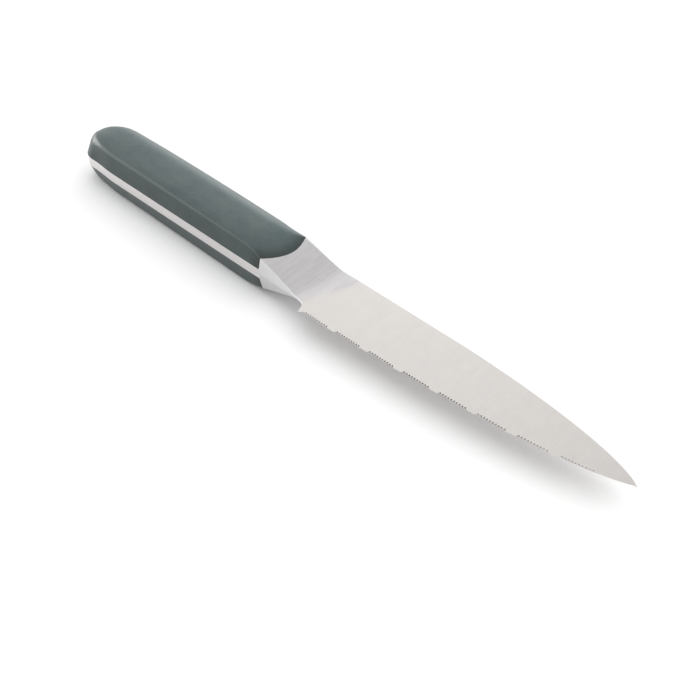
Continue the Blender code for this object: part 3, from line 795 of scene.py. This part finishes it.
def forged_steel(colours):
    """Satin blade, cross-ground bolster, bright facets and the tang's edge, in one steel, with painted
    light: the facets and the tang's edge partly painted lighter, a painted dark reflection on the spine
    and painted shade in the gullets.
    """
    material, tree, shader = new_material("forged_steel")
    place = node(tree, "ShaderNodeTexCoord").outputs["Object"]
    labels = ("run_out", "facet", "tang", "spine_shade", "gullet")
    run, facet, tang, spine_shade, gullet = (attribute(tree, label) for label in labels)
    fine, coarse, cross, broad, length, mottle = (streaks(tree, place, *grind) for grind in GRINDS)

    wobble = math_node(tree, "MULTIPLY", math_node(tree, "SUBTRACT", mottle, 0.5), 5.0)
    on_blade = reach_map(tree, math_node(tree, "ADD", run, wobble), -1.5, 4.5, 0.0, 1.0, True)
    grain = greys(tree, fine, 0.3, 0.7, 0.95, 1.04)
    clouds = reach_map(tree, mottle, 0.35, 0.65, 0.0, 1.0)
    clouds = mix_colour(tree, clouds, (0.985,) * 3, (1.01, 1.01, 1.005))
    warm = mix_colour(tree, 1.0, tuple(colours.blade), grain, "MULTIPLY")
    rubbed = reach_map(tree, coarse, 0.35, 0.65, 0.0, 0.35)
    warm = mix_colour(tree, rubbed, warm, shaded(colours.blade, 0.93))
    warm = mix_colour(tree, 1.0, warm, clouds, "MULTIPLY")
    ground = greys(tree, cross, 0.3, 0.7, 0.90, 1.11)
    cool = mix_colour(tree, 1.0, tuple(colours.bolster), ground, "MULTIPLY")
    wear_and_highlight = reach_map(tree, broad, 0.4, 0.7, 0.0, 0.45)
    cool = mix_colour(tree, wear_and_highlight, cool, shaded(colours.bolster, 0.88))
    cool = mix_colour(tree, 1.0, cool, clouds, "MULTIPLY")
    side = mix_colour(tree, on_blade, cool, warm)
    # Facets: finer grind, partly painted lighter
    bright = mix_colour(tree, 1.0, tuple(colours.facet), grain, "MULTIPLY")
    along = greys(tree, length, 0.35, 0.65, 0.84, 1.08)
    # Tang's edge: lengthwise grind on a colour that is partly painted lighter
    edge = mix_colour(tree, 1.0, tuple(colours.tang), along, "MULTIPLY")
    colour = mix_colour(tree, tang, mix_colour(tree, facet, side, bright), edge)
    # Painted dark reflection along the rounded spine in front of the tang
    colour = mix_colour(tree, spine_shade, colour, SPINE_SHADE_COLOUR)
    # Painted shade deep in the gullets
    colour = mix_colour(tree, gullet, colour, GULLET_SHADE_COLOUR)
    tree.links.new(colour, shader.inputs["Base Color"])

    lines = mix_colour(tree, on_blade, cross, fine)
    low, high = colours.steel_roughness - 0.06, colours.steel_roughness + 0.08
    rough = reach_map(tree, lines, 0.2, 0.8, low, high)
    tree.links.new(rough, shader.inputs["Roughness"])
    bump = node(tree, "ShaderNodeBump", Height=lines, Strength=0.35, Distance=0.00002)
    tree.links.new(bump.outputs["Normal"], shader.inputs["Normal"])
    shader.inputs["Metallic"].default_value = 1.0
    return material


def moulded_grip(colours):
    """Satin plastic: a fine moulded grain, faint mottling and a few paler rubbed patches, with a painted
    sheen towards the back, a painted highlight along the ridge, and painted shade on the belly wall and
    by the bolster.
    """
    material, tree, shader = new_material("moulded_grip")
    place = node(tree, "ShaderNodeTexCoord").outputs["Object"]
    grain = streaks(tree, place, (1900.0, 1900.0, 1900.0), detail=3.0)
    mottle = streaks(tree, place, (120.0, 150.0, 150.0), detail=5.0)
    rubbed = streaks(tree, place, (45.0, 120.0, 120.0), detail=3.0)
    painted_sheen, painted_ridge_highlight, wall, seat = (attribute(tree, label) for label in GRIP_SHADES)
    base = tuple(colours.grip)
    pale = tuple(min(1.0, c * 1.16 + 0.004) for c in base)
    deep = shaded(base, 0.80, 0.82, 0.86)
    wear_and_highlight = shaded(base, 2.3, 2.1, 2.0)
    colour = mix_colour(tree, reach_map(tree, mottle, 0.38, 0.62, 0.0, 1.0), deep, base)
    colour = mix_colour(tree, reach_map(tree, rubbed, 0.5, 0.75, 0.0, 0.5, True), colour, pale)
    colour = mix_colour(tree, reach_map(tree, grain, 0.45, 0.70, 0.0, 0.7), colour, pale)
    # Painted sheen: the face grows lighter from the ridge towards the back
    level = reach_map(tree, painted_sheen, 0.0, 1.0, 0.94, 1.38)
    # Painted shade on the belly wall below the ridge
    level = math_node(tree, "MULTIPLY", level, reach_map(tree, wall, 0.0, 1.0, 1.0, 0.90))
    # Painted shade where the scale meets the bolster
    level = math_node(tree, "MULTIPLY", level, reach_map(tree, seat, 0.0, 1.0, 1.0, 0.42))
    shade = node(tree, "ShaderNodeCombineXYZ", X=level, Y=level, Z=level).outputs["Vector"]
    colour = mix_colour(tree, 1.0, colour, shade, "MULTIPLY")
    # Painted highlight along the crest of the ridge
    colour = mix_colour(tree, math_node(tree, "MULTIPLY", painted_ridge_highlight, 0.40), colour, wear_and_highlight)
    tree.links.new(colour, shader.inputs["Base Color"])
    shader.inputs["Specular IOR Level"].default_value = 0.3
    low, high = colours.grip_roughness - 0.05, colours.grip_roughness + 0.07
    rough = reach_map(tree, mottle, 0.3, 0.7, low, high)
    tree.links.new(rough, shader.inputs["Roughness"])
    bump = node(tree, "ShaderNodeBump", Height=grain, Strength=0.30, Distance=0.00004)
    tree.links.new(bump.outputs["Normal"], shader.inputs["Normal"])
    return material


def turned_steel():
    """Dull turned pins, hidden in the handle."""
    material, tree, shader = new_material("turned_steel")
    place = node(tree, "ShaderNodeTexCoord").outputs["Object"]
    rings = streaks(tree, place, (200.0, 200.0, 6000.0))
    colour = mix_colour(tree, rings, (0.46, 0.46, 0.47), (0.60, 0.60, 0.61))
    tree.links.new(colour, shader.inputs["Base Color"])
    tree.links.new(reach_map(tree, rings, 0.2, 0.8, 0.3, 0.5), shader.inputs["Roughness"])
    shader.inputs["Metallic"].default_value = 1.0
    return material


def rear_share(x):
    """0 where the handle's even run begins at the front, 1 at the butt."""
    return np.clip((FRONT_X - x) / (FRONT_X - BUTT_X), 0.0, 1.0)


def butt_share(x):
    """How far x is over the shoulder at the butt, 0 to 1."""
    return np.clip((BUTT_X + SHOULDER_LENGTH - x) / SHOULDER_LENGTH, 0.0, 1.0)


def face_height(s, x, y, low, high):
    """Broad face of a scale: a flat land that falls off as a parabola to the ridge, rounded down
    by an elliptical shoulder at the butt and by a soft minimum with the bolster's wedge."""
    start = np.maximum(LAND_Y[0], low + LAND_MARGIN_SHARE * (high - low))
    tiny = 1e-6
    ridge = lerp(*RIDGE_DROP, rear_share(x)) * (np.maximum(start - y, 0.0) / (start - low + tiny)) ** 2
    shoulder = 1.0 - (1.0 - butt_share(x) ** SHOULDER_POWER) ** (1.0 / SHOULDER_POWER)
    half = 0.5 * (HIGH[2] - LOW[2])
    return soft_min(half - ridge - SHOULDER_DROP * shoulder, wedge_half(s, x, y), ROLL_OFF)


def ridge_line(s, x, size, lean):
    """How far in from the belly the ridge of a scale lies, and its radius."""
    away = fade((seat_x(BELLY_Y) - x) / RIDGE_FADE)
    crease = FACET * np.tanh(wedge_half(s, x, BELLY_Y) / FACET_FADE)
    over = butt_share(x) ** 2
    inset = lerp(crease, lerp(*DRAFT, rear_share(x)), away) + lean * over
    radius = lerp(s.ridge_radius_front, s.ridge_radius_rear, rear_share(x))
    return inset * size, lerp(2.0 * s.crease_ease, radius + BUTT_ROUNDING * over, away) * size


# Rows of a scale's section: belly wall, ridge, broad face, rounded back, back wall
SCALE_ROWS = (5, 10, 34, 28, 4)

# Values on the scales' points that the grip's painted sheen, highlight and shade follow
GRIP_SHADES = ("painted_sheen", "painted_ridge_highlight", "wall", "seat")


def scale_section(s, lean):
    """Section of a scale as a function of x: rows on the belly wall, the ridge's arc, the broad
    face, the conic that rounds the back and the last of the back wall. The ridge leans in by lean
    at the butt."""
    foot = TANG_HALF + s.joint_gap
    shares = [np.linspace(0.0, 1.0, n + 1)[:-1] for n in SCALE_ROWS[:-1]]
    shares.append(np.linspace(0.0, 1.0, SCALE_ROWS[-1] + 1))
    t = np.concatenate(shares)
    part = np.concatenate([np.full(len(v), i) for i, v in enumerate(shares)])

    def section(x):
        low, high = belly_y(x), back_y(x)
        width = high - low
        size = np.clip(width / (HANDLE_BACK_Y - HANDLE_BELLY_Y), 0.02, 1.0)
        away = fade((seat_x(SPINE_Y) - x) / RADIUS_FADE)
        inset, ridge_radius = ridge_line(s, x, size, lean)
        ridge_y = low + inset
        crest_inset = lerp(high - SPINE_Y, BACK_DRAFT, away) + BUTT_LEAN_BACK * butt_share(x) ** 2
        crest_y = high - crest_inset * size
        step = 0.02 * width

        def on_face(y):
            return y, face_height(s, x, y, low, high)

        ridge, crest = on_face(ridge_y), on_face(crest_y)
        beside = on_face(ridge_y + step)
        run = 1.25 * LEG_SHARE * width / step
        ridge_run = (ridge_y + run * step, ridge[1] + run * (beside[1] - ridge[1]))
        floor = np.full_like(x, foot)
        corner = ((low, floor), ridge, ridge_run, ridge_radius)
        arc, begin, leave = (round_corner(*corner, turn)[0] for turn in (t, 0.0 * t, 0.0 * t + 1.0))
        face_leg = np.maximum(crest_y - LAND_Y[1], LEG_SHARE * width)
        enter = on_face(crest_y - lerp(s.crown_radius * size, face_leg, away))
        down = lerp(s.crown_radius / (crest[1] - foot), BACK_WALL_SHARE, away)
        finish = (lerp(crest_y, high, down), lerp(crest[1], floor, down))
        back = conic(enter, crest, finish, lerp(*BACK_FULLNESS, rear_share(x)), t)
        face = on_face(lerp(leave[0], enter[0], t))
        choices_y = [lerp(low, begin[0], t), arc[0], face[0], back[0], lerp(finish[0], high, t)]
        choices_z = [lerp(floor, begin[1], t), arc[1], face[1], back[1], lerp(finish[1], floor, t)]
        return np.choose(part, choices_y), np.choose(part, choices_z)

    return section, part + t


def scale_surface(s, lean):
    """Grid of one scale: upright lines from the butt, then lines ruled up to the seat, then the
    front edge, rounded over and carried down the seat wall to the foot."""
    straight = handle_stations(SHOULDER_LENGTH, *SCALE_STATIONS[:2])
    share = np.linspace(0.0, 1.0, SCALE_STATIONS[2])[1:]
    section, place = scale_section(s, lean)

    def line(y):
        fixed = np.repeat(straight[:, None], y.shape[1], axis=1)
        end = seat_x(y[len(straight) :]) - s.joint_gap - FRONT_EASE
        return np.concatenate([fixed, lerp(FRONT_X, end, share[:, None])])

    surface = fit_to_lines(line, section, len(straight) + len(share), len(place))
    foot = TANG_HALF + s.joint_gap
    last = surface[-1]
    rolled = []
    for turn in np.linspace(0.0, 0.5 * math.pi, 5)[1:]:
        ring = last.copy()
        ring[:, 0] += FRONT_EASE * math.sin(turn)
        ring[:, 2] = np.maximum(ring[:, 2] - FRONT_EASE * (1.0 - math.cos(turn)), foot)
        rolled.append(ring)
    wall = rolled[-1].copy()
    wall[:, 2] = foot
    return np.concatenate([surface, np.stack(rolled), wall[None]]), place


def scale_shades(points, place):
    """Values that the grip's painted light follows: painted_sheen, 0 at the ridge to 1 at the back;
    painted_ridge_highlight, 1 along the crest of the ridge; wall, painted shade, 1 below the ridge; seat,
    painted shade,
    1 where the scale meets the bolster. The place counts the parts of the section, so the middle of the
    ridge's arc is at 1.5."""
    painted_sheen = np.clip(place - 2.0, 0.0, 1.0)
    painted_ridge_highlight = np.exp(-(((place - 1.5) / 0.28) ** 2))
    wall = ease(1.4 - place)
    seat = ease(1.0 - (seat_x(points[..., 1]) - points[..., 0]) / SEAT_SHADE)
    return dict(zip(GRIP_SHADES, np.broadcast_arrays(painted_sheen, painted_ridge_highlight, wall, seat)))


def forging_shades(points, lengths, around, deep):
    """Values that the steel's colour follows: facet, 1 on the bolster's belly and spine, which are partly
    painted lighter; tang, 1 on the tang; run_out, millimetres past the grind line; gullet, up to 1 of
    painted shade deep in one; spine_shade, 1 on the spine in front of the tang, for a painted dark
    reflection. The lengths count the rings of the tang, bolster, blade and tip."""
    row = np.arange(around)
    row = np.where(row < ROW_TOTAL, row, 2 * ROW_TOTAL - 2 - row)
    inner = ROW_COUNTS[0] + 0.5 * ROW_COUNTS[1]
    outer = inner + 0.5 * ROW_COUNTS[1] + ROW_COUNTS[2] + 0.5 * ROW_COUNTS[3]
    facet = np.repeat([0.0, 1.0, 0.0, 0.0], lengths)[:, None] * ((row < inner) | (row > outer))
    spine_shade = np.repeat([0.0, 1.0, 1.0, 1.0], lengths)[:, None] * (row < ROW_COUNTS[0] + ROW_COUNTS[1])
    gullet = np.zeros((sum(lengths), around))
    gullet[lengths[0] + lengths[1] : -1] = deep * (row >= outer)
    share = (points[:, 1] - GRIND_LINE_Y[0]) / (GRIND_LINE_Y[1] - GRIND_LINE_Y[0])
    return {
        "facet": facet.ravel(),
        "tang": np.repeat([1.0, 0.0, 0.0, 0.0], np.array(lengths) * around),
        "run_out": (points[:, 0] - lerp(*GRIND_LINE_X, share)) * 1000.0,
        "gullet": gullet.ravel(),
        "spine_shade": spine_shade.ravel(),
    }


class KNIFE_OT_forging(Operator):
    """Blade, bolster and tang as one forged surface"""

    bl_idname = "knife.forging"
    bl_label = "Forging"

    def execute(self, context):
        s = context.scene.knife_sizes
        blade, deep = blade_block(s)
        blocks = [tang_block(s), bolster_block(s), blade]
        lengths = [len(block) for block in blocks] + [1]
        around = blade.shape[1]
        tip = np.repeat(np.array([[[REACH, TIP_Y, 0.0]]]), around, axis=1)
        points = np.concatenate([*blocks, tip]).reshape(-1, 3)
        faces = np.concatenate([grid_faces(sum(lengths), around), ladder_faces(around)])
        values = forging_shades(points, lengths, around, deep)
        steel = forged_steel(context.scene.knife_colours)
        piece = make_piece("forging", points, faces, values, steel)
        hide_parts("blade")
        return {"FINISHED"}


class KNIFE_OT_scales(Operator):
    """Both moulded handle scales"""

    bl_idname = "knife.scales"
    bl_label = "Handle scales"

    def execute(self, context):
        s = context.scene.knife_sizes
        grip = moulded_grip(context.scene.knife_colours)
        sides = (
            (1.0, BUTT_LEAN_RIGHT, "grip_right", "scale_right"),
            (-1.0, BUTT_LEAN_LEFT, "grip_left", "scale_left"),
        )
        for side, lean, name, solid in sides:
            surface, place = scale_surface(s, lean)
            foot = surface.copy()
            foot[..., 2] = TANG_HALF + s.joint_gap
            rings = closed_ring(surface, foot)
            count, around = rings.shape[:2]
            faces = np.concatenate([grid_faces(count, around), scale_cap(surface.shape[1], around)])
            shades = scale_shades(surface, place)
            values = {label: closed_ring(v, v).ravel() for label, v in shades.items()}
            points = rings.reshape(-1, 3) * np.array([1.0, 1.0, side])
            piece = make_piece(name, points, faces, values, grip)
            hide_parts(solid)
        return {"FINISHED"}


def scale_cap(rows, around):
    """Quads between the section's rows and the foot below them, at the butt."""
    top = np.arange(rows)
    foot = np.concatenate([[0], np.arange(around - 1, rows - 1, -1), [rows - 1]])
    return np.stack([top[:-1], top[1:], foot[1:], foot[:-1]], axis=-1)


class KNIFE_OT_pins(Operator):
    """Finish of the hidden pins"""

    bl_idname = "knife.pins"
    bl_label = "Hidden pins"

    def execute(self, context):
        steel = turned_steel()
        for name in ("pin_front", "pin_middle", "pin_rear"):
            solid = frame["nodes"][name]
            solid.data.materials.clear()
            solid.data.materials.append(steel)
        return {"FINISHED"}


def studio_floor(colour, glow):
    """Pale floor that is overexposed, as in a catalogue picture: where it is open it is white, and
    only the deepest of the knife's shadow shows."""
    material, tree, shader = new_material("studio_floor")
    place = node(tree, "ShaderNodeTexCoord").outputs["Object"]
    mottle = streaks(tree, place, (3.0, 3.0, 3.0), detail=2.0)
    tint = mix_colour(tree, mottle, tuple(colour), shaded(colour, 0.995))
    tree.links.new(tint, shader.inputs["Base Color"])
    shader.inputs["Roughness"].default_value = 0.9
    shader.inputs["Specular IOR Level"].default_value = 0.0
    rays = node(tree, "ShaderNodeLightPath")
    seen = math_node(tree, "MAXIMUM", rays.outputs["Is Camera Ray"], rays.outputs["Is Glossy Ray"])
    lit = node(tree, "ShaderNodeEmission", Strength=math_node(tree, "MULTIPLY", seen, glow))
    both = node(tree, "ShaderNodeAddShader")
    tree.links.new(shader.outputs[0], both.inputs[0])
    tree.links.new(lit.outputs[0], both.inputs[1])
    tree.links.new(both.outputs[0], tree.nodes["Material Output"].inputs["Surface"])
    return material


# Soft lights that only a mirror sees: the way to each, and the cosine at which it ends
STRIP = ((-0.984, -0.100, 0.150), 0.90)
FILL = ((-0.471, -0.551, 0.689), 0.80)
GLOW = ((-0.472, 0.853, 0.222), 0.88)

# The way to the main light, where the mirrored walls stop brightening, and the camera's view
KEY_DIRECTION = (0.150, 0.300, 0.942)
WALLS_X = (-0.60, -0.15)
VIEW_DIRECTION = (-0.4725, 0.5090, -0.7190)


class KNIFE_OT_stage(Operator):
    """Floor, light and camera"""

    bl_idname = "knife.stage"
    bl_label = "Studio"

    def execute(self, context):
        settings = context.scene.knife_studio
        bpy.ops.mesh.primitive_plane_add(size=6.0, location=(0.0, 0.0, 0.0))
        floor = context.active_object
        floor.name = "floor"
        floor.data.materials.append(studio_floor(settings.floor, settings.floor_glow))
        self.add_key(settings)
        self.add_world(settings)
        self.add_camera(context, settings)
        context.scene.view_settings.view_transform = "Standard"
        return {"FINISHED"}

    def add_key(self, settings):
        data = bpy.data.lights.new("key", "SUN")
        data.energy = settings.key
        data.angle = settings.key_spread
        lamp = bpy.data.objects.new("key", data)
        lamp.visible_glossy = False
        bpy.context.scene.collection.objects.link(lamp)
        aim(lamp, tuple(-c for c in KEY_DIRECTION))

    def add_world(self, settings):
        """Even light for matt surfaces. Mirrors see walls that brighten towards the butt, a narrow
        strip beside it, and soft patches behind the handle and in front; the camera sees plain white."""
        world = bpy.data.worlds.new("studio")
        bpy.context.scene.world = world
        world.use_nodes = True
        tree = world.node_tree
        back = tree.nodes["Background"]
        back.inputs["Color"].default_value = (1.0, 1.0, 1.0, 1.0)
        towards = node(tree, "ShaderNodeTexCoord").outputs["Generated"]
        along = node(tree, "ShaderNodeSeparateXYZ", Vector=towards).outputs["X"]
        low, high = settings.backdrop, settings.backdrop + settings.backdrop_rise
        walls = reach_map(tree, along, *WALLS_X, high, low)
        strip = lobe(tree, towards, *STRIP, settings.strip)
        fill = lobe(tree, towards, *FILL, settings.fill)
        far = lobe(tree, towards, *GLOW, settings.glow)
        patches = math_node(tree, "ADD", far, math_node(tree, "ADD", strip, fill))
        mirrored_light = math_node(tree, "ADD", walls, patches)
        rays = node(tree, "ShaderNodeLightPath")
        strength = mix_value(tree, rays.outputs["Is Glossy Ray"], settings.sky, mirrored_light)
        camera, through = rays.outputs["Is Camera Ray"], rays.outputs["Is Transmission Ray"]
        seen = math_node(tree, "MAXIMUM", camera, through)
        strength = mix_value(tree, seen, strength, 1.0)
        tree.links.new(strength, back.inputs["Strength"])

    def add_camera(self, context, settings):
        data = bpy.data.cameras.new("camera")
        data.lens = settings.lens
        data.sensor_width = 36.0
        camera = bpy.data.objects.new("camera", data)
        context.scene.collection.objects.link(camera)
        camera.location = tuple(np.array(settings.camera_place) + DATUM)
        aim(camera, VIEW_DIRECTION)
        context.scene.camera = camera


def aim(thing, direction):
    """Points an object's -Z along a direction, with its +Y as near upright as it can be."""
    thing.rotation_euler = Vector(direction).to_track_quat("-Z", "Y").to_euler()


class KNIFE_PT_panel(Panel):
    """Sizes, colours and the steps that build the knife"""

    bl_label = "Serrated utility knife"
    bl_idname = "KNIFE_PT_panel"
    bl_space_type = "VIEW_3D"
    bl_region_type = "UI"
    bl_category = "Knife"

    def draw(self, context):
        layout = self.layout
        for group in (context.scene.knife_sizes, context.scene.knife_colours, context.scene.knife_studio):
            box = layout.box()
            for label in group.__annotations__:
                box.prop(group, label)
        for step in STEPS:
            layout.operator(step.bl_idname)


STEPS = (KNIFE_OT_forging, KNIFE_OT_scales, KNIFE_OT_pins, KNIFE_OT_stage)
CLASSES = (KnifeSizes, KnifeColours, StudioSettings, *STEPS, KNIFE_PT_panel)
GROUPS = {"knife_sizes": KnifeSizes, "knife_colours": KnifeColours, "knife_studio": StudioSettings}


def register():
    for made in CLASSES:
        bpy.utils.register_class(made)
    for name, group in GROUPS.items():
        setattr(bpy.types.Scene, name, PointerProperty(type=group))


def unregister():
    for name in GROUPS:
        delattr(bpy.types.Scene, name)
    for made in reversed(CLASSES):
        bpy.utils.unregister_class(made)


def main():
    register()
    bpy.ops.knife.forging()
    bpy.ops.knife.scales()
    bpy.ops.knife.pins()
    bpy.ops.knife.stage()


if __name__ == "__main__":
    main()
